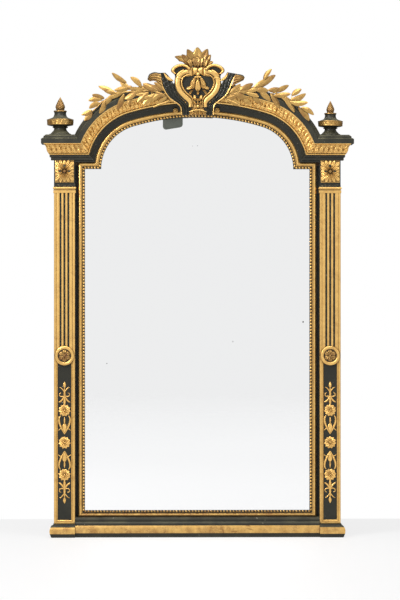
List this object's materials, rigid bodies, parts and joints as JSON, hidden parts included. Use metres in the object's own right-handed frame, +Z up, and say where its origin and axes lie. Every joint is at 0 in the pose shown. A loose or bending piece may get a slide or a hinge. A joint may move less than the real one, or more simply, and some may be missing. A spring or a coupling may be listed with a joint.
{
  "type": "mirror",
  "caption": "Tall arched pier mirror in black and gilt wood, with fluted pilasters, corner urns and a carved leafy crest, on a moulded base with hanging rings at the back.",
  "frame": {"origin": "centre of the underside of the base, half way along its width and its depth", "axes": "+Z up, +Y towards the back of the mirror, +X to the viewer's right"},
  "size_m": [1.186, 0.1533, 1.8593],
  "materials": {
    "gilding": "worn gold leaf on gesso",
    "ebonised_wood": "black polish with dusty wear",
    "pine": "old unfinished pine",
    "silvered_glass": "silvered plate",
    "card": "grey card",
    "iron": "dull cut nails and screws",
    "brass_fittings": "tarnished brass"
  },
  "bodies": {
    "mirror": {"arched_head": "pine", "back_fixings": "iron", "backboard_1": "pine", "backboard_2": "pine", "backboard_3": "pine", "backboard_4": "pine", "base_rail": "ebonised_wood", "bead_string_arch": "gilding", "bead_string_bottom": "gilding", "bead_string_left": "gilding", "bead_string_right": "gilding", "bellflower": "gilding", "bottom_rail": "pine", "branch_left": "gilding", "branch_right": "gilding", "cap_moulding_arch": "ebonised_wood", "capital_patera_left": "gilding", "capital_patera_right": "gilding", "cartouche_frame": "gilding", "cartouche_shield": "ebonised_wood", "cornice_slab_left": "ebonised_wood", "cornice_slab_right": "ebonised_wood", "fluted_panel_left": "gilding", "fluted_panel_right": "gilding", "foot_left": "ebonised_wood", "foot_right": "ebonised_wood", "glazing_blocks": "pine", "hanger_strap_left": "brass_fittings", "hanger_strap_right": "brass_fittings", "inner_cove_arch": "ebonised_wood", "leaf_band_arch": "gilding", "leaf_band_left": "gilding", "leaf_band_right": "gilding", "mirror_glass": "silvered_glass", "necking_left": "gilding", "necking_right": "gilding", "packing_card": "card", "panel_border_left": "gilding", "panel_border_right": "gilding", "panel_ornament_left": "gilding", "panel_ornament_right": "gilding", "pilaster_core_left": "ebonised_wood", "pilaster_core_right": "ebonised_wood", "plume": "gilding", "ribbon_left": "ebonised_wood", "ribbon_right": "ebonised_wood", "roundel_left": "gilding", "roundel_right": "gilding", "sight_moulding_arch": "gilding", "sight_moulding_bottom": "gilding", "sight_moulding_left": "gilding", "sight_moulding_right": "gilding", "stile_left": "pine", "stile_right": "pine", "urn_flame_left": "gilding", "urn_flame_right": "gilding", "urn_left": "ebonised_wood", "urn_right": "ebonised_wood"},
    "ring_left": {"hanger_ring_left": "brass_fittings"},
    "ring_right": {"hanger_ring_right": "brass_fittings"}
  },
  "joints": [
    {"name": "ring_left_swing", "type": "hinge", "parent": "mirror", "child": "ring_left", "pos_m": [-0.5055, 0.05465, 1.3], "axis": [1, 0, 0], "range_deg": [0, 180]},
    {"name": "ring_right_swing", "type": "hinge", "parent": "mirror", "child": "ring_right", "pos_m": [0.5055, 0.05465, 1.3], "axis": [1, 0, 0], "range_deg": [0, 180]}
  ]
}
